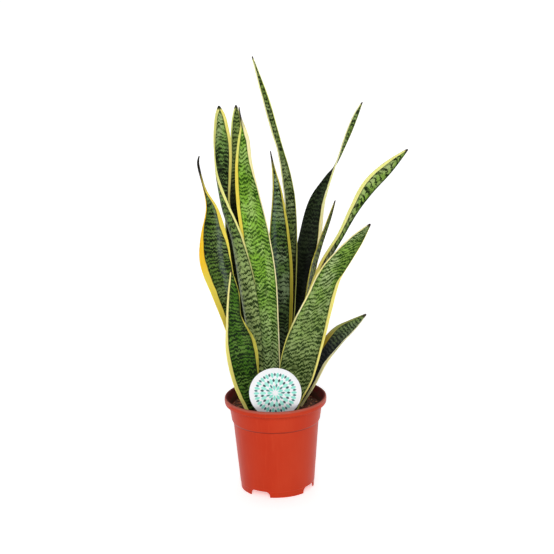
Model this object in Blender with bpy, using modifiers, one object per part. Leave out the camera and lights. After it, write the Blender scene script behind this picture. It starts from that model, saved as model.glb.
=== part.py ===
"""Potted snake plant: twelve banded sword leaves in a small nursery pot with a stick-in label.

Units are metres and +Z is up. The origin is the middle of the pot's foot, on the plane that the
pot stands on. The front of the plant, with the label, faces -Y, and +X is to the right.
"""
from dataclasses import dataclass
from math import cos, pi, radians, sin

import bmesh
import bpy
import numpy as np
from mathutils import Vector

MM = 0.001
GAP = 0.3 * MM  # clearance kept between pieces that touch

# Pot: outer radius and height of each turn of the profile, in mm.
POT_HEIGHT = 112.0
POT_WALL = 1.4
LIP_RADIUS = 60.0
LIP_BOTTOM = 104.3
NECK_RADIUS = 54.8
COLLAR_FOOT_RADIUS = 52.0
COLLAR_FOOT_Z = 84.5
BODY_TOP_RADIUS = 50.3
BODY_TOP_Z = 82.5
FOOT_RING_Z = 7.6
FOOT_RADIUS = 43.2
FLOOR_UNDER_Z = 6.6
FLOOR_TOP_Z = 8.2
CENTRE_PAD_RADIUS = 14.0
POT_SEGMENTS = 48

# Four notches in the skirt under the raised floor, and a drain hole inside each one, in mm.
NOTCH_FIRST_DEG = -29.0
NOTCH_WIDTH = 25.0
NOTCH_HEIGHT = 7.2
DRAIN_RADIUS = 4.0
DRAIN_CIRCLE_RADIUS = 31.0

# Soil, in mm.
SOIL_TOP = 100.0

# Label: a disc on a pointed stake, in mm.
LABEL_RADIUS = 30.0
LABEL_CENTRE = (0.0, -46.0, 131.0)
LABEL_THICKNESS = 0.9
STAKE_WIDTH = 8.0
STAKE_TIP_Z = 57.0

# Leaf thickness in mm along the keel, from foot to tip, and at the margin.
KEEL_STATIONS = (0.0, 0.25, 0.6, 1.0)
KEEL_THICKNESS = (4.6, 3.4, 2.6, 1.0)
MARGIN_THICKNESS = 1.0
LEAF_COLUMNS = 6
ROWS_PER_STATION = 2
SHORTEST_HALF_WIDTH = 0.4


@dataclass(frozen=True)
class Leaf:
    """A sword leaf, laid out as stations along its keel.

    Each station is (x, y, z, half width, facing), in mm and degrees. Facing is the side that
    the hollow of the leaf looks to: 0 is the front, 90 is the right. The folds are the angles
    that the cross-section turns through, evenly spaced from foot to tip.
    """

    name: str
    colour: tuple[float, float, float]
    folds: tuple[float, ...]
    stations: tuple[tuple[float, float, float, float, float], ...]


LEAVES = (
    Leaf("back_tall", (0.10, 0.19, 0.09), (110, 60, 50), (
        (7, 24, 86, 9, 15), (10, 29, 158, 11, 20), (15, 33, 218, 12, 28),
        (20, 38, 285, 11, 38), (21, 42, 331, 10, 48), (18, 45, 362, 8.8, 50),
        (11.2, 46, 398, 5.7, 54), (6.6, 46, 416, 5.4, 44), (-3, 45, 455, 4.6, 34),
        (-17, 42, 506, 0.6, 34))),
    Leaf("back_left", (0.11, 0.17, 0.08), (110, 60, 60), (
        (-12, 24, 86, 9, 0), (-21, 28, 160, 13, 4), (-33, 33, 240, 14, 8),
        (-41, 35, 300, 14, 12), (-41, 36, 340, 12.5, 16), (-38, 37, 382, 9.8, 20),
        (-38, 38, 428, 6.4, 25), (-37.2, 38, 443, 3.8, 25), (-37, 38, 451, 0.7, 25))),
    Leaf("left_clasping", (0.16, 0.26, 0.13), (120, 126, 132, 110), (
        (-19, 2, 86, 11.5, 100), (-28, 2, 180, 19, 110), (-37, 4, 250, 21.5, 114),
        (-45, 5, 301, 19.5, 104), (-56, 8, 340, 18.5, 90), (-59, 12, 374, 18, 62),
        (-57, 16, 409, 15, 38), (-57, 18, 432, 9.8, 30), (-56.3, 19, 445, 6.8, 30),
        (-56, 20, 454, 0.7, 30))),
    Leaf("centre_broad", (0.30, 0.46, 0.14), (90, 50, 60), (
        (-2, -1, 86, 9.5, -6), (-5, -2, 152, 13.5, -12), (-8, -2, 207, 16.5, -16),
        (-11, -2, 255, 18, -16), (-18, -1, 306, 17, -6), (-25.4, 1, 348, 14.6, 6),
        (-29.5, 6, 387, 10.4, 6), (-29, 10, 417, 6.8, 10), (-29.5, 11, 430, 3.2, 12),
        (-31.5, 12.5, 440, 1.1, 16), (-33, 14, 453, 0.5, 20))),
    Leaf("left_outer", (0.13, 0.24, 0.11), (90, 60, 50), (
        (-31, 10, 86, 7.5, 14), (-38, 8, 143, 10, 16), (-46, 5, 193, 11.5, 14),
        (-57, 1, 240, 15.5, 12), (-65, -1, 277, 19, 4), (-65, 0, 303, 17, -10),
        (-66, 4, 336, 9.5, -32), (-75, 8, 361, 2.4, -50), (-81.6, 12, 389, 1.5, -30),
        (-80, 13, 398, 0.6, -30))),
    Leaf("left_front_short", (0.12, 0.25, 0.09), (110, 60, 50), (
        (-20, -15, 86, 9, 10), (-34, -18, 137, 17, 12), (-39, -21, 181, 19, 10),
        (-45.6, -21, 216, 9.2, 6), (-45, -20, 242, 7.2, 4), (-47, -19, 271, 0.7, 4))),
    Leaf("centre_dark", (0.09, 0.17, 0.10), (110, 60, 50), (
        (7, 12, 86, 9, -5), (9, 14, 175, 13, -8), (11, 16, 254, 14, -8),
        (9.5, 18, 298, 12.5, -5), (8, 20, 349, 6.2, 5), (4, 22, 380, 2.2, 40),
        (1, 22, 400, 0.6, 60))),
    Leaf("right_tall", (0.09, 0.15, 0.08), (100, 60, 50), (
        (19, 30, 86, 9, 160), (27, 38, 181, 13, 160), (37, 44, 253, 15, 160),
        (44, 46, 288, 14.5, 162), (53, 50, 330, 10.5, 160), (67, 53, 359, 5, 140),
        (77, 55, 376, 3.2, 80), (86, 57, 397, 3.4, 42), (94, 58, 416, 3.8, 22),
        (102, 59, 434, 2.9, 20), (109, 60, 447, 0.5, 20))),
    Leaf("right_thin", (0.14, 0.20, 0.09), (90, 50, 40), (
        (24, 19, 86, 7, 60), (34, 24, 184, 8, 62), (46, 30, 255, 8, 62),
        (55.5, 32, 284, 4.8, 54), (67.6, 34, 316, 2.8, 42), (75, 35, 337, 0.6, 40))),
    Leaf("right_leaning", (0.17, 0.24, 0.12), (110, 60, 50), (
        (28, 9, 86, 9, -10), (34, 10, 164, 11, -12), (46, 12, 224, 8, -12),
        (59, 14, 265, 5, -12), (80, 16, 300, 4.1, -14), (96, 17, 330, 5.8, -16),
        (113, 18, 356, 8.6, -16), (134, 18, 377, 7.4, -16), (158, 16, 399, 0.9, -16))),
    Leaf("right_front_broad", (0.16, 0.25, 0.10), (110, 60, 50), (
        (12, -14, 86, 11, -12), (19, -17, 116, 15, -13), (26, -19, 145, 22.5, -14),
        (37, -24, 187, 23, -14), (54, -28, 235, 17, -12), (66, -30, 266, 13.5, -10),
        (81, -31, 287, 11, -10), (96.5, -31, 306, 7.5, -10), (112, -30, 324, 0.8, -10))),
    Leaf("right_short", (0.15, 0.22, 0.13), (100, 60, 50), (
        (16, 2, 86, 8.5, -25), (38, -4, 131, 13, -28), (55, -8, 161, 11, -30),
        (75, -12, 188, 10.5, -30), (90, -14, 200, 7, -25), (107, -14, 213, 0.8, -20))),
)


def clear_scene():
    """Remove whatever the scene holds."""
    for obj in list(bpy.data.objects):
        bpy.data.objects.remove(obj, do_unlink=True)


def make_collection(name):
    """Return a new collection that is linked to the scene."""
    collection = bpy.data.collections.new(name)
    bpy.context.scene.collection.children.link(collection)
    return collection


def principled(name, colour, roughness, metallic=0.0):
    """Return a material with one Principled BSDF."""
    material = bpy.data.materials.new(name)
    material.use_nodes = True
    shader = material.node_tree.nodes["Principled BSDF"]
    shader.inputs["Base Color"].default_value = (*colour, 1.0)
    shader.inputs["Roughness"].default_value = roughness
    shader.inputs["Metallic"].default_value = metallic
    material.diffuse_color = (*colour, 1.0)
    return material


def add_object(name, data, collection, parent=None):
    """Make an object from a mesh or a curve and link it."""
    obj = bpy.data.objects.new(name, data)
    collection.objects.link(obj)
    obj.parent = parent
    return obj


def turned(name, profile, collection, parent=None):
    """Turn a profile of (radius, z) points in mm about the Z axis with a Screw modifier."""
    bm = bmesh.new()
    corners = [bm.verts.new((radius * MM, 0.0, z * MM)) for radius, z in profile]
    for first, second in zip(corners, corners[1:]):
        bm.edges.new((first, second))
    mesh = bpy.data.meshes.new(name)
    bm.to_mesh(mesh)
    bm.free()
    obj = add_object(name, mesh, collection, parent)
    screw = obj.modifiers.new("turn", "SCREW")
    screw.axis = "Z"
    screw.angle = 2.0 * pi
    screw.steps = POT_SEGMENTS
    screw.render_steps = POT_SEGMENTS
    screw.use_merge_vertices = True
    screw.merge_threshold = 0.00001
    screw.use_smooth_shade = True
    return obj


def as_cutter(obj):
    """Show an object only as a wire, and keep it out of renders."""
    obj.hide_render = True
    obj.display_type = "WIRE"
    return obj


def cut(target, cutter):
    """Take the cutter out of the target with an exact Boolean."""
    modifier = target.modifiers.new("cut_" + cutter.name, "BOOLEAN")
    modifier.operation = "DIFFERENCE"
    modifier.solver = "EXACT"
    modifier.object = cutter


def inner_wall():
    """Return the pot's inside from rim to floor, as (radius, z) points in mm."""
    return [
        (NECK_RADIUS - POT_WALL, LIP_BOTTOM - 1.3),
        (COLLAR_FOOT_RADIUS - POT_WALL, COLLAR_FOOT_Z - 0.6),
        (BODY_TOP_RADIUS - POT_WALL, BODY_TOP_Z - 0.6),
        (FOOT_RADIUS - POT_WALL + 0.5, FLOOR_TOP_Z + 1.6),
        (FOOT_RADIUS - POT_WALL - 0.8, FLOOR_TOP_Z),
    ]


def make_pot(parts, cutters, parent):
    """Build the moulded pot: rolled lip, stepped collar, tapered body and notched foot."""
    floor_step = FLOOR_UNDER_Z - 1.0
    inside = [(0.0, FLOOR_TOP_Z)] + inner_wall()[::-1]
    lip = [
        (55.9, 109.6),
        (56.9, POT_HEIGHT - 0.3),
        (57.6, POT_HEIGHT),
        (58.7, POT_HEIGHT - 0.2),
        (59.7, POT_HEIGHT - 1.2),
        (LIP_RADIUS, POT_HEIGHT - 2.6),
        (LIP_RADIUS - 0.4, LIP_BOTTOM + 0.5),
        (LIP_RADIUS - 1.2, LIP_BOTTOM),
    ]
    outside = [
        (NECK_RADIUS, LIP_BOTTOM - 0.6),
        (COLLAR_FOOT_RADIUS, COLLAR_FOOT_Z),
        (BODY_TOP_RADIUS, BODY_TOP_Z),
        (FOOT_RADIUS + 0.75, FOOT_RING_Z),
        (FOOT_RADIUS + 0.25, FOOT_RING_Z - 0.5),
        (FOOT_RADIUS, 0.0),
        (FOOT_RADIUS - POT_WALL, 0.0),
        (FOOT_RADIUS - POT_WALL - 0.4, FLOOR_UNDER_Z),
        (CENTRE_PAD_RADIUS + 2.0, floor_step + 1.0),
        (CENTRE_PAD_RADIUS, 0.0),
        (0.0, 0.0),
    ]
    pot = turned("pot", inside + lip + outside, parts, parent)
    for index in range(4):
        angle = radians(NOTCH_FIRST_DEG + 90.0 * index)
        direction = Vector((sin(angle), -cos(angle), 0.0))
        notch = make_notch_cutter(f"notch_{index + 1}", cutters)
        notch.location = direction * FOOT_RADIUS * MM
        notch.rotation_euler = (0.0, 0.0, angle)
        cut(pot, notch)
        bpy.ops.mesh.primitive_cylinder_add(
            vertices=16, radius=DRAIN_RADIUS * MM, depth=0.012,
            location=direction * DRAIN_CIRCLE_RADIUS * MM + Vector((0.0, 0.0, 0.005)))
        drain = bpy.context.object
        drain.name = f"drain_{index + 1}"
        for owner in list(drain.users_collection):
            owner.objects.unlink(drain)
        cutters.objects.link(drain)
        cut(pot, as_cutter(drain))
    return pot


def make_notch_cutter(name, cutters):
    """Return a block with rounded upper corners, as wide and as high as one foot notch."""
    bm = bmesh.new()
    bmesh.ops.create_cube(bm, size=1.0)
    for vert in bm.verts:
        vert.co = Vector((vert.co.x * NOTCH_WIDTH, vert.co.y * 10.0, vert.co.z * 2.0)) * MM
        vert.co.z = NOTCH_HEIGHT * MM if vert.co.z > 0.0 else -2.0 * MM
    corners = [
        edge for edge in bm.edges
        if all(vert.co.z > 0.0 for vert in edge.verts)
        and abs(edge.verts[0].co.x - edge.verts[1].co.x) < 1e-6
    ]
    bmesh.ops.bevel(
        bm, geom=corners, offset=5.5 * MM, offset_type="OFFSET", segments=4, profile=0.5,
        affect="EDGES", material=-1)
    mesh = bpy.data.meshes.new(name)
    bm.to_mesh(mesh)
    bm.free()
    return as_cutter(add_object(name, mesh, cutters))


def make_soil(parts, parent):
    """Build the block of soil that fills the pot, clear of the wall and the floor."""
    clear = GAP / MM
    wall = inner_wall()
    top, below = wall[0], wall[1]
    share = (top[1] - SOIL_TOP) / (top[1] - below[1])
    shoulder = (top[0] + share * (below[0] - top[0]) - clear, SOIL_TOP)
    sides = [(radius - clear, z + 0.5 * clear) for radius, z in wall[1:-1]]
    foot = (wall[-1][0] - clear, FLOOR_TOP_Z + clear)
    profile = [(0.0, SOIL_TOP), shoulder] + sides + [foot, (0.0, FLOOR_TOP_Z + clear)]
    return turned("soil", profile, parts, parent)


def smooth(knots, values, at):
    """Read a smooth curve through values at knots, with the slopes of its neighbours."""
    values = np.asarray(values, float)
    if values.ndim == 1:
        values = values[:, None]
    last = len(knots) - 1
    slopes = np.zeros_like(values)
    for i in range(last + 1):
        a = max(i - 1, 0)
        b = min(i + 1, last)
        slopes[i] = (values[b] - values[a]) / (knots[b] - knots[a])
    first_step = (values[1] - values[0]) / (knots[1] - knots[0])
    last_step = (values[-1] - values[-2]) / (knots[-1] - knots[-2])
    slopes[0] = 1.5 * first_step - 0.5 * slopes[1]
    slopes[-1] = 1.5 * last_step - 0.5 * slopes[-2]
    i = np.clip(np.searchsorted(knots, at, side="right") - 1, 0, last - 1)
    span = (knots[i + 1] - knots[i])[:, None]
    s = (at - knots[i])[:, None] / span
    from_value = (2 * s**3 - 3 * s**2 + 1) * values[i]
    to_value = (3 * s**2 - 2 * s**3) * values[i + 1]
    from_slope = (s**3 - 2 * s**2 + s) * slopes[i] * span
    to_slope = (s**3 - s**2) * slopes[i + 1] * span
    return from_value + from_slope + to_value + to_slope


def station_knots(leaf):
    """Return each station's share of the leaf's length, 0 at the foot and 1 at the tip."""
    points = np.array([station[:3] for station in leaf.stations], float)
    lengths = np.linalg.norm(np.diff(points, axis=0), axis=1)
    along = np.concatenate([[0.0], np.cumsum(lengths)])
    return along / along[-1]


def leaf_rows(leaf):
    """Return where the rows of the leaf's grid lie: at every station and between them."""
    knots = station_knots(leaf)
    steps = np.arange(ROWS_PER_STATION) / ROWS_PER_STATION
    rows = [low + (high - low) * step for low, high in zip(knots, knots[1:]) for step in steps]
    return np.array(rows + [1.0])


def leaf_surface(leaf, rows, columns, widen=0.0):
    """Return the points of a leaf's middle surface in metres, row by row.

    The cross-section is an arc: it is as long as the leaf is wide, it turns through the fold
    angle, and its hollow side looks along the facing direction.
    """
    knots = station_knots(leaf)
    table = np.array(leaf.stations, float)
    fine = np.linspace(0.0, 1.0, 401)
    centre = smooth(knots, table[:, :3], rows)
    ahead = smooth(knots, table[:, :3], np.minimum(rows + 0.002, 1.0))
    behind = smooth(knots, table[:, :3], np.maximum(rows - 0.002, 0.0))
    tangent = ahead - behind
    tangent /= np.linalg.norm(tangent, axis=1)[:, None]
    half_width = np.maximum(smooth(knots, table[:, 3], rows)[:, 0], SHORTEST_HALF_WIDTH) + widen
    facing = np.radians(smooth(knots, table[:, 4], rows)[:, 0])
    fold_at = np.linspace(0.0, 1.0, len(leaf.folds))
    half_fold = np.radians(np.interp(rows, fold_at, leaf.folds)) / 2.0
    look = np.stack([np.sin(facing), -np.cos(facing), np.zeros_like(facing)], axis=1)
    normal = look - np.sum(look * tangent, axis=1)[:, None] * tangent
    normal /= np.linalg.norm(normal, axis=1)[:, None]
    across = np.cross(tangent, normal)
    radius = half_width / half_fold
    points = []
    for u in np.linspace(-1.0, 1.0, columns + 1):
        turn = half_fold * u
        side = across * (radius * np.sin(turn))[:, None]
        rise = normal * (radius * (1.0 - np.cos(turn)))[:, None]
        points.append((centre + side + rise) * MM)
    return np.stack(points, axis=1), tangent


def keel_thickness(at):
    """Return the leaf's thickness at the keel in mm, at a share of its length."""
    return float(np.interp(at, KEEL_STATIONS, KEEL_THICKNESS))


def leaf_shell(name, leaf, rows, collection, parent=None, grow=0.0):
    """Build a closed leaf blade: a mapped grid that Solidify thickens towards the keel.

    With grow, in mm, the blade is made that much larger all round, to cut its own pocket.
    """
    points, tangent = leaf_surface(leaf, rows, LEAF_COLUMNS, widen=grow)
    points[0] -= tangent[0] * 2.0 * grow * MM
    bm = bmesh.new()
    bmesh.ops.create_grid(bm, x_segments=LEAF_COLUMNS, y_segments=len(rows) - 1, size=1.0)
    bm.verts.ensure_lookup_table()
    weights = []
    thickest = max(KEEL_THICKNESS) + 2.0 * grow
    for vert in bm.verts:
        u = vert.co.x
        column = round((u + 1.0) / 2.0 * LEAF_COLUMNS)
        row = round((vert.co.y + 1.0) / 2.0 * (len(rows) - 1))
        vert.co = Vector(points[row, column])
        keel = keel_thickness(rows[row])
        margin = min(keel, MARGIN_THICKNESS)
        thickness = margin + (keel - margin) * (1.0 - u * u) + 2.0 * grow
        weights.append(thickness / thickest)
    mesh = bpy.data.meshes.new(name)
    bm.to_mesh(mesh)
    bm.free()
    mesh.shade_smooth()
    obj = add_object(name, mesh, collection, parent)
    group = obj.vertex_groups.new(name="thickness")
    for index, weight in enumerate(weights):
        group.add([index], weight, "REPLACE")
    shell = obj.modifiers.new("blade", "SOLIDIFY")
    shell.thickness = thickest * MM
    shell.offset = 0.0
    shell.vertex_group = group.name
    shell.thickness_vertex_group = 0.0
    return obj


def make_leaf(leaf, parts, cutters, soil, parent):
    """Build one leaf, and open a pocket for its foot in the soil."""
    rows = leaf_rows(leaf)
    obj = leaf_shell(leaf.name, leaf, rows, parts, parent)
    foot_rows = rows[:ROWS_PER_STATION + 1]
    pocket = leaf_shell(leaf.name + "_pocket", leaf, foot_rows, cutters, grow=GAP / MM)
    cut(soil, as_cutter(pocket))
    return obj


def make_label(parts, cutters, soil, parent):
    """Build the label from one flat outline: a disc that runs down into a pointed stake."""
    x, y, z = LABEL_CENTRE
    half_stake = STAKE_WIDTH / 2.0
    neck = np.arcsin(half_stake / LABEL_RADIUS)
    angles = np.linspace(-pi / 2.0 + neck, 3.0 * pi / 2.0 - neck, 49)
    outline = [(LABEL_RADIUS * cos(angle), LABEL_RADIUS * sin(angle)) for angle in angles]
    tip = STAKE_TIP_Z - z
    outline += [(-half_stake, tip + 12.0), (-0.6, tip), (0.6, tip), (half_stake, tip + 12.0)]
    curve = bpy.data.curves.new("plant_label", "CURVE")
    curve.dimensions = "2D"
    curve.fill_mode = "BOTH"
    curve.extrude = LABEL_THICKNESS / 2.0 * MM
    spline = curve.splines.new("POLY")
    spline.points.add(len(outline) - 1)
    for point, (across, up) in zip(spline.points, outline):
        point.co = (across * MM, up * MM, 0.0, 1.0)
    spline.use_cyclic_u = True
    label = add_object("plant_label", curve, parts, parent)
    label.location = Vector(LABEL_CENTRE) * MM
    label.rotation_euler = (pi / 2.0, 0.0, 0.0)

    clear = 2.0 * GAP / MM
    low = STAKE_TIP_Z - clear
    high = SOIL_TOP + 5.0
    bpy.ops.mesh.primitive_cube_add(size=1.0, location=Vector((x, y, (low + high) / 2.0)) * MM)
    slot = bpy.context.object
    slot.name = "label_pocket"
    slot.scale = Vector((STAKE_WIDTH + clear, LABEL_THICKNESS + clear, high - low)) * MM
    for owner in list(slot.users_collection):
        owner.objects.unlink(slot)
    cutters.objects.link(slot)
    cut(soil, as_cutter(slot))
    return label


def main():
    """Build the plant."""
    clear_scene()
    parts = make_collection("potted_snake_plant")
    cutters = make_collection("cutters")
    pot_axis = add_object("pot_axis", None, parts)

    pot = make_pot(parts, cutters, pot_axis)
    pot.data.materials.append(principled("terracotta_plastic", (0.60, 0.055, 0.020), 0.4))
    soil = make_soil(parts, pot_axis)
    soil.data.materials.append(principled("potting_soil", (0.055, 0.030, 0.020), 0.95))
    label = make_label(parts, cutters, soil, pot_axis)
    label.data.materials.append(principled("label_plastic", (0.80, 0.80, 0.78), 0.45))
    for leaf in LEAVES:
        blade = make_leaf(leaf, parts, cutters, soil, pot_axis)
        blade.data.materials.append(principled(leaf.name + "_skin", leaf.colour, 0.38))


main()
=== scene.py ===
"""A young banded sword plant in a terracotta-coloured nursery pot, with a round stick-in label."""
import logging
from dataclasses import dataclass
from enum import Enum
from math import asin, cos, pi, radians, sin, tau
from typing import Iterable, Optional, Sequence, Union

import bmesh
import bpy
import numpy as np
from mathutils import Matrix, Vector, noise


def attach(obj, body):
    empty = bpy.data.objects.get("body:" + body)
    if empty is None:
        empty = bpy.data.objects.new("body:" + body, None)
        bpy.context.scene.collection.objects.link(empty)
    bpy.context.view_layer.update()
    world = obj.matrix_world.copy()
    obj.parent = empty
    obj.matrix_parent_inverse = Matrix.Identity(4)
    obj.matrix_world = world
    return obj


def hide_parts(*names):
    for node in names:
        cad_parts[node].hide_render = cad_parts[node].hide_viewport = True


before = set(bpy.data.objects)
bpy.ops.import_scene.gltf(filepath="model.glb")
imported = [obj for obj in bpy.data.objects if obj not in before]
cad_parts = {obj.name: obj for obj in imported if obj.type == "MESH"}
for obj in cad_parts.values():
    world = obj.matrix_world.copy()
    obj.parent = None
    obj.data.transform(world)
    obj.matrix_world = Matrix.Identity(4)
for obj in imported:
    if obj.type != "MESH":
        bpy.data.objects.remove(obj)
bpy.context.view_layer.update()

LOG = logging.getLogger("potted_sword_plant")
MM = 0.001
BODY = "root"

Colour = tuple[float, float, float]
Point2 = tuple[float, float]
Point3 = tuple[float, float, float]
Socket = bpy.types.NodeSocket
Feed = Union[Socket, float, Sequence[float]]
Cells = Union[float, Sequence[float]]


def tone(code: str) -> Colour:
    """Turn a hex colour into the linear values that a shader takes.

    Args:
        code: Six hex digits, red first.

    Returns:
        The linear red, green and blue.
    """
    parts = [int(code[i:i + 2], 16) / 255.0 for i in (0, 2, 4)]
    return tuple(p / 12.92 if p <= 0.04045 else ((p + 0.055) / 1.055) ** 2.4 for p in parts)


class Nodes:
    """A node tree, with short calls for the nodes that the finishes and the room share."""

    def __init__(self, owner: Union[bpy.types.Material, bpy.types.World]) -> None:
        """Take up the node tree of a material or a world."""
        owner.use_nodes = True
        self.tree = owner.node_tree

    def feed(self, socket: Socket, value: Feed) -> None:
        """Link a socket to another, or set its value.

        Args:
            socket: The input to fill.
            value: An output socket, a number, or a colour or vector.
        """
        if isinstance(value, Socket):
            self.tree.links.new(value, socket)
        elif isinstance(value, (int, float)):
            socket.default_value = value
        elif socket.type == "RGBA":
            socket.default_value = (*value[:3], 1.0)
        else:
            socket.default_value = value

    def node(
        self, kind: str, inputs: dict[Union[str, int], Feed], **settings: object
    ) -> bpy.types.Node:
        """Add a node.

        Args:
            kind: The node's type.
            inputs: What each named or numbered input takes.
            **settings: The node's own properties.

        Returns:
            The new node.
        """
        made = self.tree.nodes.new(kind)
        for key, value in settings.items():
            setattr(made, key, value)
        for key, value in inputs.items():
            self.feed(made.inputs[key], value)
        return made

    def math(
        self, operation: str, first: Feed, second: Feed = 0.0, clamp: bool = False
    ) -> Socket:
        """Return the result of a Math node on two values."""
        inputs = {0: first, 1: second}
        return self.node("ShaderNodeMath", inputs, operation=operation, use_clamp=clamp).outputs[0]

    def times(self, first: Feed, second: Feed) -> Socket:
        """Return the product of two values."""
        return self.math("MULTIPLY", first, second)

    def plus(
        self, first: Feed, second: Feed, factor: float = 1.0, clamp: bool = False
    ) -> Socket:
        """Add a value, multiplied by a factor, to another.

        Args:
            first: The value that is added to.
            second: The value that is added.
            factor: What the second is multiplied by.
            clamp: Whether the sum is held between 0 and 1.

        Returns:
            The sum.
        """
        if factor != 1.0:
            second = self.times(second, factor)
        return self.math("ADD", first, second, clamp)

    def minus(self, first: Feed, second: Feed) -> Socket:
        """Return the difference of two values."""
        return self.math("SUBTRACT", first, second)

    def rest(self, value: Feed) -> Socket:
        """Return what a value leaves of one."""
        return self.minus(1.0, value)

    def reach(self, first: Feed, second: Feed) -> Socket:
        """Return the length of a vector of two parts."""
        return self.math("SQRT", self.plus(self.times(first, first), self.times(second, second)))

    def parts(self, vector: Feed) -> list[Socket]:
        """Return the three parts of a vector."""
        return list(self.node("ShaderNodeSeparateXYZ", {0: vector}).outputs)

    def joined(self, *parts: Feed) -> Socket:
        """Return the vector of three parts."""
        return self.node("ShaderNodeCombineXYZ", dict(enumerate(parts))).outputs[0]

    def stretch(self, vector: Feed, by: Cells) -> Socket:
        """Return a vector multiplied by one number or part by part, by 1 where none is given."""
        sizes = (by,) * 3 if isinstance(by, float) else (*by, 1.0)[:3]
        made = self.node("ShaderNodeVectorMath", {0: vector, 1: sizes}, operation="MULTIPLY")
        return made.outputs[0]

    def noise(
        self, vector: Feed, by: Cells, detail: float = 2.0, rough: float = 0.5
    ) -> Socket:
        """Read noise that is centred on zero.

        Args:
            vector: The place to read it at, in metres.
            by: How many noise cells a metre holds, each way.
            detail: Octaves of finer noise.
            rough: Strength of the finer octaves.

        Returns:
            The noise, from about -0.5 to 0.5.
        """
        inputs = {
            "Vector": self.stretch(vector, by), "Scale": 1.0, "Detail": detail, "Roughness": rough}
        return self.minus(self.node("ShaderNodeTexNoise", inputs).outputs["Fac"], 0.5)

    def step(self, value: Feed, low: Feed, high: Feed) -> Socket:
        """Return a soft step: 0 below low, 1 above high."""
        made = self.node(
            "ShaderNodeMapRange", {"Value": value, "From Min": low, "From Max": high},
            interpolation_type="SMOOTHSTEP")
        return made.outputs["Result"]

    def window(self, value: Feed, start: float, full: float, fade: float, end: float) -> Socket:
        """Return a soft window: 1 from full to fade, 0 below start and above end."""
        return self.times(self.step(value, start, full), self.rest(self.step(value, fade, end)))
    def mix(self, share: Feed, first: Feed, second: Feed, blend: str = "MIX") -> Socket:
        """Mix two colours.

        Args:
            share: How much of the second, 0 to 1.
            first: The colour at 0.
            second: The colour at 1.
            blend: How the second is laid on.

        Returns:
            The mixed colour.
        """
        made = self.node("ShaderNodeMix", {}, data_type="RGBA", blend_type=blend)
        for index, value in ((0, share), (6, first), (7, second)):
            self.feed(made.inputs[index], value)
        return made.outputs[2]


class Recipe(Nodes):
    """One material's node tree."""

    def __init__(self, name: str) -> None:
        """Start an empty material of this name."""
        self.material = bpy.data.materials.new(name)
        super().__init__(self.material)
        self.tree.nodes.clear()

    def attribute(self, name: str) -> list[Socket]:
        """Read a vector attribute of the mesh as three values."""
        made = self.node("ShaderNodeAttribute", {}, attribute_name=name)
        return self.parts(made.outputs["Vector"])

    def place(self) -> Socket:
        """Return the piece's own coordinates, in metres."""
        return self.node("ShaderNodeTexCoord", {}).outputs["Object"]

    def bump(self, height: Feed, depth: float, strength: float = 1.0) -> Socket:
        """Return a normal raised by a height from 0 to 1, over a depth in metres."""
        inputs = {"Height": height, "Strength": strength, "Distance": depth}
        return self.node("ShaderNodeBump", inputs).outputs["Normal"]

    def finish(self, **inputs: Feed) -> bpy.types.Material:
        """Close the tree with a Principled shader.

        Args:
            **inputs: The shader's inputs, with _ for each space in a name.

        Returns:
            The finished material.
        """
        named = {key.replace("_", " "): value for key, value in inputs.items()}
        shader = self.node("ShaderNodeBsdfPrincipled", named)
        self.node("ShaderNodeOutputMaterial", {"Surface": shader.outputs[0]})
        return self.material


def added(name: str, data: bpy.types.ID) -> bpy.types.Object:
    """Return a new object of a mesh, lamp or camera, linked to the scene.

    Args:
        name: The object's name.
        data: What it shows.

    Returns:
        The object.
    """
    made = bpy.data.objects.new(name, data)
    bpy.context.scene.collection.objects.link(made)
    return made


def show(name: str, mesh: bpy.types.Mesh, replaced: str = "") -> bpy.types.Object:
    """Put a finished mesh in the scene and tie it to the frame.

    Args:
        name: The piece's name.
        mesh: Its mesh, in place.
        replaced: The frame's node that it stands for, if any.

    Returns:
        The piece.
    """
    piece = added(name, mesh)
    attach(piece, BODY)
    if replaced:
        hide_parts(replaced)
    LOG.info("%s: %d faces", name, len(mesh.polygons))
    return piece


def to_mesh(bm: bmesh.types.BMesh, name: str, sharp_degrees: float = 180.0) -> bpy.types.Mesh:
    """Turn a bmesh into a smooth-shaded mesh and free it.

    Args:
        bm: The shape.
        name: The mesh's name.
        sharp_degrees: Edges that turn more than this stay sharp.

    Returns:
        The mesh.
    """
    mesh = bpy.data.meshes.new(name)
    bm.to_mesh(mesh)
    bm.free()
    mesh.shade_smooth()
    if sharp_degrees < 180.0:
        mesh.set_sharp_from_angle(angle=radians(sharp_degrees))
    return mesh


def rounded(corners: Sequence[Point3], steps: int = 5) -> list[Point2]:
    """Round the corners of a profile.

    Args:
        corners: Each corner's radius and height in mm, and the reach of its rounding.
        steps: Spans in each rounding.

    Returns:
        The profile's points, in mm.
    """
    points: list[Point2] = []
    for index, (across, up, reach) in enumerate(corners):
        here = Vector((across, up))
        if reach <= 0.0 or index in (0, len(corners) - 1):
            points.append((across, up))
            continue
        back = Vector(corners[index - 1][:2]) - here
        ahead = Vector(corners[index + 1][:2]) - here
        start = here + back.normalized() * min(reach, back.length * 0.49)
        end = here + ahead.normalized() * min(reach, ahead.length * 0.49)
        for step in range(steps + 1):
            share = step / steps
            spot = start.lerp(here, share).lerp(here.lerp(end, share), share)
            points.append((spot.x, spot.y))
    return points


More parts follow.
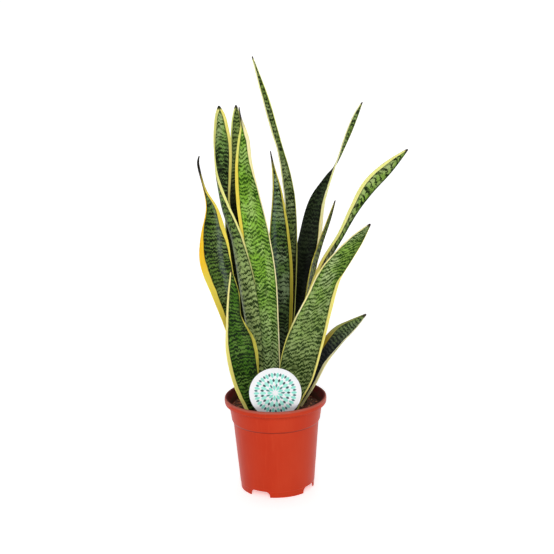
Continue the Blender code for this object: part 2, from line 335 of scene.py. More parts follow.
def turned(profile: Iterable[Point2], steps: int) -> bmesh.types.BMesh:
    """Spin a profile about the pot's axis.

    Args:
        profile: Radius and height of each point, in mm.
        steps: Divisions of the full turn.

    Returns:
        The closed shape.
    """
    bm = bmesh.new()
    line = [bm.verts.new((across * MM, 0.0, up * MM)) for across, up in profile]
    edges = [bm.edges.new(pair) for pair in zip(line, line[1:])]
    bmesh.ops.spin(
        bm, geom=line + edges, cent=(0.0, 0.0, 0.0), axis=(0.0, 0.0, 1.0), dvec=(0.0, 0.0, 0.0),
        angle=tau, steps=steps, use_merge=True, use_normal_flip=False, use_duplicate=False)
    bmesh.ops.remove_doubles(bm, verts=bm.verts, dist=1e-6)
    bmesh.ops.recalc_face_normals(bm, faces=bm.faces)
    return bm


def soften(
    bm: bmesh.types.BMesh, edges: list[bmesh.types.BMEdge], reach: float, steps: int
) -> None:
    """Round some of a shape's edges.

    Args:
        bm: The shape.
        edges: The edges.
        reach: How far the rounding reaches on each side, in mm.
        steps: Spans in each rounding.
    """
    bmesh.ops.bevel(
        bm, geom=edges, offset=reach * MM, offset_type="OFFSET", segments=steps, profile=0.5,
        affect="EDGES", material=-1)


@dataclass(frozen=True)
class PotPlastic:
    """Moulded terracotta-coloured polypropylene, with a soft gloss and faint draw streaks.

    Attributes:
        body: The plastic's colour.
        worn: Its colour in worn patches and streaks.
        deep: A painted shade: the darker colour laid on the inner wall above the soil.
        lip_sheen: The colour of the painted sheen on the lip's top edge, a painted highlight.
        ledge_shade: The colour of the painted shade lines under the collar's step and under the
            lip.
        dust: The colour of soil dust on the inner wall.
        roughness: Its roughness.
        wall: The middle of the wall: a radius and a height in mm, and its slope.
        swell: Between which heights the wall swells into the lip, and how far, in mm.
        lip_sheen_band: Between which heights the painted sheen on the lip sets in, in mm, and its
            strength.
        ledge_shade_lines: The heights where each painted shade line starts, is full, fades and
            ends, and its strength.
    """

    body: Colour = tone("C43212")
    worn: Colour = tone("CC4020")
    deep: Colour = tone("5A2226")
    lip_sheen: Colour = tone("B8786A")
    ledge_shade: Colour = tone("7A1E0C")
    dust: Colour = tone("5A3A2C")
    roughness: float = 0.36
    wall: Point3 = (54.1, 103.5, 0.143)
    swell: Point3 = (104.6, 105.4, 3.0)
    lip_sheen_band: Point3 = (108.5, 111.2, 0.55)
    ledge_shade_lines: tuple[tuple[float, ...], ...] = (
        (81.8, 82.8, 83.8, 84.6, 0.7), (103.0, 104.2, 104.6, 105.6, 0.35))

    def dress(self, soil_top: float) -> bpy.types.Material:
        """Make the material.

        Args:
            soil_top: Height of the soil in metres, near which the inner wall takes its painted
                shade and soil dust.

        Returns:
            The material.
        """
        recipe = Recipe("terracotta_plastic")
        at = recipe.place()
        cloud = recipe.noise(at, (18.0, 18.0, 9.0), 3.0)
        streak = recipe.noise(at, (420.0, 420.0, 6.0), 3.0)
        colour = recipe.mix(recipe.step(cloud, -0.25, 0.3), self.body, self.worn)
        colour = recipe.mix(recipe.step(streak, 0.02, 0.35), colour, self.worn)
        across, along, up = recipe.parts(at)
        radius, level, slope = self.wall
        middle = recipe.plus(radius * MM, recipe.minus(up, level * MM), slope)
        start, end, swell = self.swell
        middle = recipe.plus(middle, recipe.step(up, start * MM, end * MM), swell * MM)
        inside = recipe.math("LESS_THAN", recipe.reach(across, along), middle)
        # Painted highlight: the top of the lip is lightened, with a noisy edge, where its rounded
        # edge would catch the light.
        lip_sheen_rise = recipe.plus(up, recipe.noise(at, (90.0, 90.0, 300.0), 3.0), 2.0 * MM)
        start, end, share = self.lip_sheen_band
        lip_sheen_share = recipe.times(recipe.step(lip_sheen_rise, start * MM, end * MM), share)
        colour = recipe.mix(lip_sheen_share, colour, self.lip_sheen)
        # Painted shade: thin dark lines under the collar's step and under the lip, where those
        # ledges face down.
        for *heights, share in self.ledge_shade_lines:
            line = recipe.window(up, *(height * MM for height in heights))
            colour = recipe.mix(recipe.times(line, share), colour, self.ledge_shade)
        inner_shade_and_dust = recipe.times(inside, recipe.step(up, soil_top - 4.0 * MM, soil_top))
        splash = recipe.plus(up, recipe.noise(at, 160.0, 4.0), 20.0 * MM)
        low = recipe.rest(recipe.step(splash, soil_top + 1.0 * MM, soil_top + 10.0 * MM))
        # Painted shade: the inner wall above the soil takes the deep colour; real soil dust lies
        # over it close to the soil.
        colour = recipe.mix(recipe.times(inner_shade_and_dust, 0.85), colour, self.deep)
        colour = recipe.mix(recipe.times(inner_shade_and_dust, low), colour, self.dust)
        rough = recipe.plus(recipe.plus(self.roughness, cloud, 0.12), inner_shade_and_dust, 0.3, clamp=True)
        height = recipe.plus(recipe.times(streak, 0.6), recipe.noise(at, 2600.0), 0.5)
        return recipe.finish(
            Base_Color=colour, Roughness=rough, Normal=recipe.bump(height, 0.06 * MM, 0.7),
            Specular_IOR_Level=0.1)


@dataclass
class NurseryPot:
    """The pot: one moulded piece with a rolled lip, a stepped collar and a notched foot."""

    finish: PotPlastic
    height: float = 112.0
    wall: float = 1.4
    lip_radius: float = 60.0
    lip_bottom: float = 104.3
    neck_radius: float = 54.8
    collar_radius: float = 52.0
    collar_z: float = 84.5
    body_radius: float = 50.3
    body_z: float = 82.5
    foot_radius: float = 43.2
    foot_ring_z: float = 7.6
    floor_under: float = 6.6
    floor_top: float = 8.2
    pad_radius: float = 14.0
    notch_first: float = -29.0
    notch_width: float = 25.0
    notch_height: float = 7.2
    notch_round: float = 5.5
    notches: int = 4
    sharp_degrees: float = 42.0
    drain_radius: float = 4.0
    drain_circle: float = 31.0
    soil_top: float = 100.0
    around: int = 176

    def inner_wall(self) -> list[Point3]:
        """Return the corners of the pot's inside from rim to floor, in mm."""
        return [
            (self.neck_radius - self.wall, self.lip_bottom - 1.3, 1.5),
            (self.collar_radius - self.wall, self.collar_z - 0.6, 0.8),
            (self.body_radius - self.wall, self.body_z - 0.6, 0.8),
            (self.foot_radius - self.wall + 0.5, self.floor_top + 1.6, 1.0),
            (self.foot_radius - self.wall - 0.8, self.floor_top, 0.8),
        ]

    def profile(self) -> list[Point2]:
        """Return the whole wall's outline, from the floor's middle round to the foot's."""
        lip = [
            (55.9, 109.4, 1.6),
            (56.8, self.height, 1.2),
            (self.lip_radius - 0.4, self.height, 2.2),
            (self.lip_radius, self.height - 4.0, 1.2),
            (self.lip_radius - 0.6, self.lip_bottom, 0.9),
            (self.neck_radius, self.lip_bottom - 0.2, 0.7),
        ]
        outside = [
            (self.collar_radius, self.collar_z, 0.5),
            (self.body_radius, self.body_z, 1.2),
            (self.foot_radius + 0.75, self.foot_ring_z, 0.25),
            (self.foot_radius + 0.25, self.foot_ring_z - 0.5, 0.25),
            (self.foot_radius, 0.0, 0.5),
            (self.foot_radius - self.wall, 0.0, 0.5),
            (self.foot_radius - self.wall - 0.4, self.floor_under, 0.8),
            (self.pad_radius + 2.0, self.floor_under, 1.0),
            (self.pad_radius, 0.0, 0.8),
            (0.0, 0.0, 0.0),
        ]
        inside = [(0.0, self.floor_top, 0.0)] + self.inner_wall()[::-1]
        return rounded(inside + lip + outside)

    def notch_block(self, angle: float) -> bmesh.types.BMesh:
        """Return the block that cuts one notch, its upper corners rounded.

        Args:
            angle: Where the notch is, from the front towards the right, in radians.

        Returns:
            The block.
        """
        bm = bmesh.new()
        bmesh.ops.create_cube(bm, size=1.0)
        size = (self.notch_width * MM, 10.0 * MM, (self.notch_height + 2.0) * MM)
        bmesh.ops.scale(bm, verts=bm.verts, vec=size)
        middle = (self.notch_height / 2.0 - 1.0) * MM
        bmesh.ops.translate(bm, verts=bm.verts, vec=(0.0, 0.0, middle))
        top = [
            edge for edge in bm.edges
            if all(vert.co.z > 0.0 for vert in edge.verts)
            and abs(edge.verts[0].co.x - edge.verts[1].co.x) < 1e-6
        ]
        soften(bm, top, self.notch_round, 8)
        turn = Matrix.Rotation(angle, 4, "Z")
        place = Matrix.Translation(Vector((sin(angle), -cos(angle), 0.0)) * self.foot_radius * MM)
        bmesh.ops.transform(bm, matrix=place @ turn, verts=bm.verts)
        return bm

    def drain_pin(self, angle: float) -> bmesh.types.BMesh:
        """Return the pin that cuts one drain hole.

        Args:
            angle: Where the hole is, from the front towards the right, in radians.

        Returns:
            The pin.
        """
        bm = bmesh.new()
        bmesh.ops.create_cone(
            bm, cap_ends=True, segments=48, radius1=self.drain_radius * MM,
            radius2=self.drain_radius * MM, depth=12.0 * MM)
        spot = Vector((sin(angle), -cos(angle), 0.0)) * self.drain_circle
        bmesh.ops.translate(bm, verts=bm.verts, vec=(spot + Vector((0.0, 0.0, 5.0))) * MM)
        return bm

    def build(self) -> bpy.types.Object:
        """Make the pot and dress it."""
        raw = added("pot_blank", to_mesh(turned(self.profile(), self.around), "pot_blank"))
        cutters: list[bpy.types.Object] = []
        for index in range(self.notches):
            angle = radians(self.notch_first + 360.0 / self.notches * index)
            for shape in (self.notch_block(angle), self.drain_pin(angle)):
                cutter = added("pot_cutter", to_mesh(shape, "pot_cutter"))
                cutters.append(cutter)
                cut = raw.modifiers.new("cut", "BOOLEAN")
                cut.operation = "DIFFERENCE"
                cut.solver = "EXACT"
                cut.object = cutter
        seen = raw.evaluated_get(bpy.context.evaluated_depsgraph_get())
        mesh = bpy.data.meshes.new_from_object(seen)
        for helper in cutters + [raw]:
            bpy.data.objects.remove(helper, do_unlink=True)
        mesh.shade_smooth()
        mesh.set_sharp_from_angle(angle=radians(self.sharp_degrees))
        mesh.materials.clear()
        mesh.materials.append(self.finish.dress(self.soil_top * MM))
        return show("nursery_pot", mesh, "pot")


@dataclass(frozen=True)
class PottingMix:
    """Moist peat with reddish bark and pale fibre."""

    peat: Colour = tone("745040")
    wet: Colour = tone("44291F")
    bark: Colour = tone("B0704E")
    straw: Colour = tone("AC8C64")
    moss: Colour = tone("6A6C38")

    def dress(self, name: str, chips: float) -> bpy.types.Material:
        """Make the material.

        Args:
            name: The material's name.
            chips: Share of bark among the peat, 0 to 1.

        Returns:
            The material.
        """
        recipe = Recipe(name)
        at = recipe.place()
        clod = recipe.noise(at, 260.0, 4.0, 0.65)
        crumb = recipe.noise(at, 900.0, 3.0, 0.6)
        cells = {"Vector": recipe.stretch(at, 330.0), "Scale": 1.0}
        cell = recipe.node("ShaderNodeTexVoronoi", cells)
        pick = recipe.node("ShaderNodeSeparateColor", {0: cell.outputs["Color"]}).outputs
        colour = recipe.mix(recipe.step(clod, -0.2, 0.25), self.wet, self.peat)
        chip = recipe.step(pick[0], 1.0 - chips, 1.0 - chips + 0.05)
        colour = recipe.mix(chip, colour, self.bark)
        colour = recipe.mix(recipe.step(pick[1], 0.955, 0.975), colour, self.straw)
        green = recipe.times(recipe.step(recipe.noise(at, 35.0), 0.12, 0.3), 0.5)
        return recipe.finish(
            Base_Color=recipe.mix(green, colour, self.moss), Roughness=0.93,
            Normal=recipe.bump(recipe.plus(clod, crumb, 0.6), 1.2 * MM), Specular_IOR_Level=0.25)


@dataclass
class SoilBed:
    """The soil: a lumpy bed that fills the pot, with loose crumbs and bark on top.

    Attributes:
        pot: The pot that it fills.
        mix: Its finish.
        seed: Starts the random draws.
        clear: The gap between the bed's foot and the pot, in mm.
        rings: Rings of faces on the top.
        around: Divisions of the full turn.
        crumbs: How many crumbs there are.
        crumb_radius: The largest crumb's radius, in mm.
        crumb_gap: How far from the wall the crumbs' middles stay, in mm.
        lump_sizes: The cells in a metre, shift and height in mm of each kind of lump.
        sag: How far the top sinks by the wall, from which radius and over how far, in mm.
    """

    pot: NurseryPot
    mix: PottingMix
    seed: int = 11
    clear: float = 0.3
    rings: int = 46
    around: int = 150
    crumbs: int = 900
    crumb_radius: float = 1.7
    crumb_gap: float = 3.2
    lump_sizes: tuple[tuple[float, Point3, float], ...] = (
        (60.0, (3.1, 7.7, 0.0), 1.5), (190.0, (1.3, 0.4, 5.0), 0.9),
        (520.0, (0.0, 0.0, 0.0), 0.45))
    sag: Point3 = (1.4, 42.0, 10.0)

    def lumps(self, at: Vector) -> float:
        """Read the soil's lumps at a place.

        Args:
            at: The place, in metres.

        Returns:
            How far the soil stands above its level there, in metres.
        """
        return sum(
            size * noise.noise(at * cells + Vector(shift))
            for cells, shift, size in self.lump_sizes) * MM

    def bed(self) -> bpy.types.Object:
        """Make the bed: a turned plug whose top is pushed into lumps."""
        wall = self.pot.inner_wall()
        share = (wall[0][1] - self.pot.soil_top) / (wall[0][1] - wall[1][1])
        brim = wall[0][0] + share * (wall[1][0] - wall[0][0]) - self.clear
        top = [(brim * ring / self.rings, self.pot.soil_top) for ring in range(self.rings + 1)]
        sides = [(radius - self.clear, up + self.clear / 2.0) for radius, up, _ in wall[1:-1]]
        low = self.pot.floor_top + self.clear
        foot = [(wall[-1][0] - self.clear, low), (0.0, low)]
        bm = turned(top + sides + foot, self.around)
        depth, start, over = self.sag
        for vert in bm.verts:
            if vert.co.z > (self.pot.soil_top - 0.01) * MM:
                radius = vert.co.to_2d().length / MM
                vert.co.z += self.lumps(vert.co) - depth * MM * max(0.0, (radius - start) / over)
        piece = show("soil_bed", to_mesh(bm, "soil_bed"), "soil")
        piece.data.materials.append(self.mix.dress("potting_mix", 0.16))
        return piece

    def scatter(self) -> bpy.types.Object:
        """Make the loose crumbs: small uneven balls and flat bark chips, in one piece."""
        rng = np.random.default_rng(self.seed)
        bm = bmesh.new()
        reach = self.pot.neck_radius - self.pot.wall - self.crumb_gap
        for _ in range(self.crumbs):
            radius = reach * float(np.sqrt(rng.random()))
            angle = float(rng.random()) * tau
            size = float(rng.uniform(0.45, 1.0) ** 1.6) * self.crumb_radius * MM
            flat = rng.uniform((0.8, 0.5, 0.35), (1.5, 1.0, 0.8))
            spot = Vector((radius * cos(angle), radius * sin(angle), self.pot.soil_top)) * MM
            spot.z += self.lumps(spot) + size * 0.15
            turn = Matrix.Rotation(float(rng.random()) * tau, 4, "Z")
            tilt = Matrix.Rotation(float(rng.normal()) * 0.5, 4, "X")
            made = bmesh.ops.create_icosphere(bm, subdivisions=1, radius=size)["verts"]
            for vert in made:
                vert.co *= 1.0 + 0.5 * noise.noise(vert.co * 900.0 + spot * 300.0)
            bmesh.ops.scale(bm, verts=made, vec=Vector(flat))
            bmesh.ops.transform(bm, matrix=Matrix.Translation(spot) @ turn @ tilt, verts=made)
        piece = show("soil_crumbs", to_mesh(bm, "soil_crumbs", 50.0))
        piece.data.materials.append(self.mix.dress("potting_crumbs", 0.34))
        return piece


@dataclass(frozen=True)
class LabelPrint:
    """White label plastic with plain rings of small dashes.

    Attributes:
        base: The plastic's colour.
        inks: The colour of each ring of dashes.
        rings: Each ring's inner and outer radius in mm, its dashes, its turn and how full it is.
    """

    base: Colour = tone("FAFBFD")
    inks: tuple[Colour, ...] = (
        tone("8FE8D6"), tone("3E7F80"), tone("A6F0E0"), tone("2B4A50"), tone("8FE8D6"),
        tone("3A6E72"))
    rings: tuple[tuple[float, float, int, float, float], ...] = (
        (2.5, 9.5, 9, 0.0, 0.8), (6.0, 11.5, 9, 0.5, 0.4), (10.0, 18.0, 15, 0.0, 0.75),
        (13.0, 17.5, 15, 0.5, 0.45), (18.0, 25.0, 22, 0.5, 0.6), (20.0, 24.5, 22, 0.0, 0.42))

    def dress(self, centre: Vector) -> bpy.types.Material:
        """Make the material.

        Args:
            centre: The middle of the label's disc, in metres.

        Returns:
            The material.
        """
        recipe = Recipe("label_plastic")
        at = recipe.place()
        across, depth, up = recipe.parts(at)
        across = recipe.minus(across, centre.x)
        up = recipe.minus(up, centre.z)
        radius = recipe.reach(across, up)
        angle = recipe.math("DIVIDE", recipe.math("ARCTAN2", up, across), tau)
        front = recipe.math("LESS_THAN", depth, centre.y)
        colour: Feed = self.base
        for (inner, outer, count, shift, share), ink in zip(self.rings, self.inks):
            middle = (inner + outer) / 2.0 * MM
            half = (outer - inner) / 2.0 * MM
            along = recipe.math("DIVIDE", recipe.minus(radius, middle), half)
            turn = recipe.math("FRACT", recipe.plus(shift + count, angle, count))
            beside = recipe.math("ABSOLUTE", recipe.minus(turn, 0.5))
            wide = recipe.times(recipe.rest(recipe.times(along, along)), share / 2.0)
            inked = recipe.times(recipe.step(recipe.minus(wide, beside), 0.0, 0.04), front)
            colour = recipe.mix(inked, colour, ink)
        return recipe.finish(
            Base_Color=colour, Roughness=0.42, Coat_Weight=0.1, Coat_Roughness=0.3,
            Normal=recipe.bump(recipe.noise(at, 1800.0), 0.03 * MM, 0.4))


@dataclass
class PlantLabel:
    """The stick-in label: a round disc that runs down into a pointed stake."""

    finish: LabelPrint
    centre: Point3 = (0.0, -46.0, 131.0)
    radius: float = 30.0
    thickness: float = 0.9
    stake_width: float = 8.0
    stake_tip: float = 57.0
    point_length: float = 12.0
    point_half: float = 0.7
    edge: float = 0.22
    around: int = 120

    def build(self) -> bpy.types.Object:
        """Make the label and dress it."""
        x, y, z = self.centre
        half = self.stake_width / 2.0
        neck = asin(half / self.radius)
        angles = np.linspace(-pi / 2.0 + neck, 3.0 * pi / 2.0 - neck, self.around)
        outline = [(self.radius * cos(a), self.radius * sin(a)) for a in angles]
        low = self.stake_tip - z
        shoulder = low + self.point_length
        end = self.point_half
        outline += [(-half, shoulder), (-end, low), (end, low), (half, shoulder)]
        bm = bmesh.new()
        back = y + self.thickness / 2.0
        corners = [bm.verts.new(((x + a) * MM, back * MM, (z + b) * MM)) for a, b in outline]
        face = bm.faces.new(corners)
        grown = bmesh.ops.extrude_face_region(bm, geom=[face])["geom"]
        moved = [item for item in grown if isinstance(item, bmesh.types.BMVert)]
        bmesh.ops.translate(bm, verts=moved, vec=(0.0, -self.thickness * MM, 0.0))
        bmesh.ops.recalc_face_normals(bm, faces=bm.faces)
        rims = [edge for edge in bm.edges if abs(edge.verts[0].co.y - edge.verts[1].co.y) < 1e-7]
        soften(bm, rims, self.edge, 3)
        mesh = to_mesh(bm, "plant_label_disc", 40.0)
        mesh.materials.append(self.finish.dress(Vector(self.centre) * MM))
        return show("plant_label_disc", mesh, "plant_label")


class BandShape(Enum):
    """How a leaf's cross bands run from margin to margin."""

    ARCH = "highest at the keel"
    CUP = "lowest at the keel"
    LEVEL = "straight across"
    ZIGZAG = "up and down across the blade"


@dataclass(frozen=True)
class Margin:
    """A leaf's plain border.

    Attributes:
        colour: Its main colour.
        pale: The colour that it fades to in streaks.
        widths: Its width in mm at shares of the leaf's length.
        upper: Its main colour further up.
        turn: The shares of the leaf's length between which it turns to that.
    """

    colour: Colour
    pale: Colour
    widths: tuple[Point2, ...]
    upper: Colour
    turn: Point2


BAND_SLIPS = (
    ((60.0, 14.0), 1.0, 2.2), ((330.0, 45.0), 2.0, 1.7), ((1150.0, 170.0), 2.0, 0.75),
    ((9.0, 55.0), 2.0, 1.6))
"""The noise that bends the bands: cells, octaves and size in band pitches."""

BAND_BREAKS = (
    ((170.0, 110.0), 3.0, 0.65, 5.2), ((900.0, 420.0), 2.0, 0.6, 3.4),
    ((25.0, 22.0), 2.0, 0.5, 2.4))
"""The noise that breaks them up: cells, octaves, the finer ones' strength and size."""

FINER_BANDS = (0.43, 0.55)
"""The finer bands between them: their pitch in band pitches, and their strength."""

ZIGZAG = (3.35, 0.62, 1.6)
"""A zigzag's shift, its half period in half widths, and how much further it climbs."""

BLADE_NOISE = {
    "fibre": ((1500.0, 9.0), 3.0), "cloud": ((45.0, 12.0), 2.0), "mottle": ((130.0, 60.0), 3.0),
    "fleck": ((420.0, 260.0), 3.0, 0.7), "fresh": ((75.0, 30.0), 3.0),
    "faded": ((110.0, 200.0), 3.0), "waxy": ((70.0, 16.0), 3.0), "fray": ((420.0, 60.0), 3.0),
    "streak": ((1100.0, 12.0), 2.0), "worn": ((300.0, 80.0), 3.0)}
"""The noise in a skin: cells across and along, octaves and the finer ones' strength."""

SHADING = {"fibre": 0.5, "fleck": 0.9, "mottle": 0.7, "cloud": 0.5}
"""How strongly the skin's lightness follows each noise."""

FRAY = 1.3 * MM
"""How far the inner edge of a margin strays."""

SEAM = (0.4 * MM, 1.9 * MM, 0.7)
"""Where the dark seam inside a margin fades out, and its strength."""

LEAST_HALF = 2.0 * MM
"""The least half width that the place across a leaf is measured in."""


@dataclass(frozen=True)
class BandedSkin:
    """One face of a leaf: dark and light cross bands on a waxy skin.

    Attributes:
        light: The light bands' colour.
        dark: The dark bands' colour.
        bloom: The colour of the waxy bloom that lies over it in patches, and of the painted sheen
            stripe.
        foot_light: The light bands' colour at the leaf's foot; where darker than the blade's,
            partly painted shade low down among the leaves.
        foot_dark: The dark bands' colour at the leaf's foot; where darker than the blade's, partly
            painted shade low down among the leaves.
        foot: Between which heights along the leaf the foot's colours give way, in mm.
        pitch: Distance from band to band, in mm.
        shape: How the bands run.
        rise: How far a band climbs from keel to margin, in mm.
        slant: How much higher the bands run at the positive side than at the keel, in mm.
        light_share: Above 0 the light bands are wider, below 0 the dark ones.
        foot_share: The same at the leaf's foot.
        bloom_share: How much bloom there is, 0 to 1.
        bloom_depth: How far the bloom hides what is under it, 0 to 1.
        wander: How far neighbouring strips of a band slip, in band pitches.
        roughness: The skin's roughness.
        gloss: How strongly it mirrors light, 0 to 1.
        vivid: The light bands' colour in fresher patches.
        vivid_share: Above 0 the fresher patches take more room, below 0 less.
        stripe: A painted sheen along the blade, in the bloom colour: its place across, half width
            and strength.
        sides: Painted shade across the blade: how much darker the negative and the positive side
            are, as if turned from the light; below 0, painted lighter.
    """

    light: Colour
    dark: Colour
    bloom: Colour = tone("7F9088")
    foot_light: Colour = tone("6F8060")
    foot_dark: Colour = tone("2C3A26")
    foot: Point2 = (0.0, 90.0)
    pitch: float = 5.0
    shape: BandShape = BandShape.LEVEL
    rise: float = 4.0
    slant: float = 0.0
    light_share: float = 0.0
    foot_share: float = 0.0
    bloom_share: float = 0.2
    bloom_depth: float = 0.3
    wander: float = 1.0
    roughness: float = 0.36
    gloss: float = 0.09
    vivid: Colour = tone("7C9E40")
    vivid_share: float = 0.0
    stripe: Point3 = (0.0, 0.3, 0.0)
    sides: Point2 = (0.0, 0.0)

    def climb(self, recipe: Recipe, side: Socket) -> Socket:
        """Return how far the bands climb at a place across the leaf, in metres.

        Args:
            recipe: The material in the making.
            side: The place across, -1 to 1.

        Returns:
            The climb.
        """
        if self.shape is BandShape.LEVEL:
            return recipe.times(side, self.rise * 0.25 * MM)
        if self.shape is BandShape.ZIGZAG:
            shift, period, climb = ZIGZAG
            turn = recipe.math("PINGPONG", recipe.plus(side, shift), period)
            return recipe.times(turn, self.rise * climb * MM)
        soft = recipe.math("SQRT", recipe.plus(recipe.times(side, side), 0.02))
        return recipe.times(soft, (self.rise if self.shape is BandShape.ARCH else -self.rise) * MM)

    def bands(
        self, recipe: Recipe, at: Socket, side: Socket, along: Socket, high: Socket
    ) -> Socket:
        """Lay out the bands.

        Args:
            recipe: The material in the making.
            at: Where the pattern is read.
            side: The place across, -1 to 1.
            along: The place along the leaf, in metres.
            high: 0 at the foot, 1 above it.

        Returns:
            0 in a dark band, 1 in a light one.
        """
        spot = recipe.plus(along, self.climb(recipe, side))
        spot = recipe.minus(spot, recipe.times(side, self.slant * MM))
        pitch = self.pitch * MM
        for cells, detail, size in BAND_SLIPS:
            slip = recipe.noise(at, cells, detail, 0.6)
            spot = recipe.plus(spot, slip, size * pitch * self.wander)
        wave = recipe.math("SINE", recipe.times(spot, tau / pitch))
        share, strength = FINER_BANDS
        finer = recipe.math("SINE", recipe.times(spot, tau / (share * pitch)))
        level = recipe.plus(wave, finer, strength)
        for cells, detail, rough, size in BAND_BREAKS:
            level = recipe.plus(level, recipe.noise(at, cells, detail, rough), size)
        gain = recipe.times(high, self.light_share - self.foot_share)
        level = recipe.plus(level, recipe.plus(gain, self.foot_share))
        return recipe.step(level, -0.6, 0.6)

    def dress(
        self, name: str, seed: float, length: float, left: Margin, right: Margin, tip: Colour
    ) -> bpy.types.Material:
        """Make the material.

        Args:
            name: The material's name.
            seed: Moves the pattern.
            length: The leaf's length in mm.
            left: The border at the negative side of the blade.
            right: The border at the positive side.
            tip: The colour of the dry tip.

        Returns:
            The material.
        """
        recipe = Recipe(name)
        across, along, half = recipe.attribute("blade")
        left_width, right_width, dry = recipe.attribute("rim")
        at = recipe.joined(across, along, seed)
        side = recipe.math("DIVIDE", across, recipe.math("MAXIMUM", half, LEAST_HALF))
        grain = {name: recipe.noise(at, *read) for name, read in BLADE_NOISE.items()}

        # Below the foot heights the foot colours take over; on most leaves they are darker, partly
        # painted shade low down among the leaves.
        ragged = recipe.plus(along, grain["mottle"], 60.0 * MM)
        high = recipe.step(ragged, *(place * MM for place in self.foot))
        band = self.bands(recipe, at, side, along, high)
        patches = recipe.plus(grain["fresh"], self.vivid_share)
        fresh = recipe.mix(recipe.step(patches, -0.12, 0.12), self.light, self.vivid)
        light = recipe.mix(high, self.foot_light, fresh)
        dark = recipe.mix(high, self.foot_dark, self.dark)
        faded = recipe.step(grain["faded"], -0.02, 0.25)
        dark = recipe.mix(recipe.times(faded, 0.4), dark, light)
        colour = recipe.mix(band, dark, light)
        waxy = recipe.step(grain["waxy"], 0.25 - 0.5 * self.bloom_share, 0.5)
        colour = recipe.mix(recipe.times(waxy, self.bloom_depth), colour, self.bloom)
        # Painted sheen: a lengthwise stripe of the bloom colour, standing in for the gloss that a
        # soft box would light along the blade.
        place, spread, strength = self.stripe
        if strength > 0.0:
            away = recipe.plus(recipe.minus(side, place), grain["mottle"], 0.3)
            sheen = recipe.rest(recipe.step(recipe.math("ABSOLUTE", away), 0.0, spread))
            colour = recipe.mix(recipe.times(sheen, strength), colour, self.bloom)

        shading = [(grain[name], depth) for name, depth in SHADING.items()]
        # Painted shade: a side with a drop is darkened towards its margin, as if it turned away
        # from the light; a drop below 0 lightens it instead.
        for sign, drop in zip((-1.0, 1.0), self.sides):
            if drop != 0.0:
                shading.append((recipe.step(side, 0.1 * sign, sign), -drop))
        shade: Feed = 1.0
        for pattern, depth in shading:
            shade = recipe.times(shade, recipe.plus(1.0, pattern, depth))
        colour = recipe.mix(1.0, colour, recipe.joined(shade, shade, shade), "MULTIPLY")

        fray = recipe.times(grain["fray"], FRAY)
        streak = recipe.step(grain["streak"], -0.3, 0.3)
        near, far, depth = SEAM
        for rim, width, inward in (
            (left, left_width, recipe.plus(half, across)),
            (right, right_width, recipe.minus(half, across)),
        ):
            past = recipe.minus(recipe.plus(inward, fray), width)
            seam = recipe.rest(recipe.step(past, near, far))
            colour = recipe.mix(recipe.times(seam, depth), colour, dark)
            late = recipe.step(along, *(share * length * MM for share in rim.turn))
            main = recipe.mix(late, rim.colour, rim.upper)
            plain = recipe.rest(recipe.step(past, -0.3 * MM, 0.3 * MM))
            colour = recipe.mix(plain, colour, recipe.mix(streak, main, rim.pale))
        worn = recipe.plus(dry, grain["worn"], 0.9)
        colour = recipe.mix(recipe.rest(recipe.step(worn, 0.45, 1.25)), colour, tip)

        rough = recipe.plus(self.roughness, band, 0.06)
        rough = recipe.plus(rough, grain["cloud"], 0.2, clamp=True)
        height = recipe.plus(recipe.times(grain["fibre"], 0.8), band, 0.3)
        return recipe.finish(
            Base_Color=colour, Roughness=rough, Normal=recipe.bump(height, 0.14 * MM, 0.7),
            Specular_IOR_Level=self.gloss)


def curve_through(knots: np.ndarray, values: np.ndarray, at: np.ndarray) -> np.ndarray:
    """Read a smooth curve through values at knots.

    Args:
        knots: Rising shares of the length, from 0 to 1.
        values: A row of values for each knot.
        at: Where to read the curve.

    Returns:
        A row of values for each place.
    """
    last = len(knots) - 1
    slopes = np.zeros_like(values)
    for i in range(last + 1):
        a, b = max(i - 1, 0), min(i + 1, last)
        slopes[i] = (values[b] - values[a]) / (knots[b] - knots[a])
    slopes[0] = 1.5 * (values[1] - values[0]) / (knots[1] - knots[0]) - 0.5 * slopes[1]
    slopes[-1] = 1.5 * (values[-1] - values[-2]) / (knots[-1] - knots[-2]) - 0.5 * slopes[-2]
    i = np.clip(np.searchsorted(knots, at, side="right") - 1, 0, last - 1)
    span = (knots[i + 1] - knots[i])[:, None]
    s = (at - knots[i])[:, None] / span
    near = (2 * s**3 - 3 * s**2 + 1) * values[i] + (s**3 - 2 * s**2 + s) * slopes[i] * span
    far = (3 * s**2 - 2 * s**3) * values[i + 1] + (s**3 - s**2) * slopes[i + 1] * span
    return near + far


